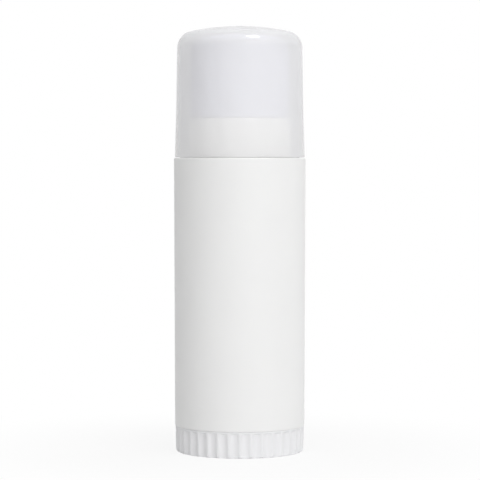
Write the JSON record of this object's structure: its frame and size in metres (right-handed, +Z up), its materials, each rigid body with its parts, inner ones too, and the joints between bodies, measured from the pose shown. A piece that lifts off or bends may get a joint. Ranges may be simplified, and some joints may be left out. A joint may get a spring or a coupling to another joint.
{
  "type": "twist-up sunscreen stick",
  "caption": "Upright round twist-up stick: translucent domed pull-off cap, smooth white barrel, fluted knob at the foot that raises a white balm.",
  "frame": {"origin": "on the stick's axis, at the middle of the knob's flat underside", "axes": "+Z up along the stick's axis, towards the cap; -Y is the side that faces the picture's camera"},
  "size_m": [0.028, 0.028, 0.0904],
  "materials": {
    "milky_shell": "glossy milky translucent polypropylene with a faint cool tint",
    "natural_sleeve": "natural translucent polyethylene",
    "white_body": "smooth satin-gloss white polypropylene",
    "cool_white": "satin white polypropylene, a little cooler than the barrel",
    "acetal": "plain moulded acetal",
    "silicone": "clear silicone",
    "balm": "soft waxy off-white balm"
  },
  "bodies": {
    "barrel": {"outer_barrel": "white_body", "inner_tube": "white_body", "spindle_seal": "silicone"},
    "dial": {"knob": "cool_white", "spindle": "acetal"},
    "product": {"elevator_cup": "acetal", "balm": "balm"},
    "cap": {"cap_shell": "milky_shell", "cap_liner": "natural_sleeve"}
  },
  "joints": [
    {"name": "knob_turn", "type": "hinge", "parent": "barrel", "child": "dial", "pos_m": [0, 0, 0], "axis": [0, 0, 1], "range_deg": [0, 1512]},
    {"name": "lift", "type": "slide", "parent": "barrel", "child": "product", "axis": [0, 0, 1], "range_m": [0, 0.0168]},
    {"name": "cap_pull", "type": "slide", "parent": "barrel", "child": "cap", "axis": [0, 0, 1], "range_m": [0, 0.04]}
  ],
  "couplings": [
    {"joint": "lift", "follows": "knob_turn", "m_per_rad": 0.00063662}
  ]
}
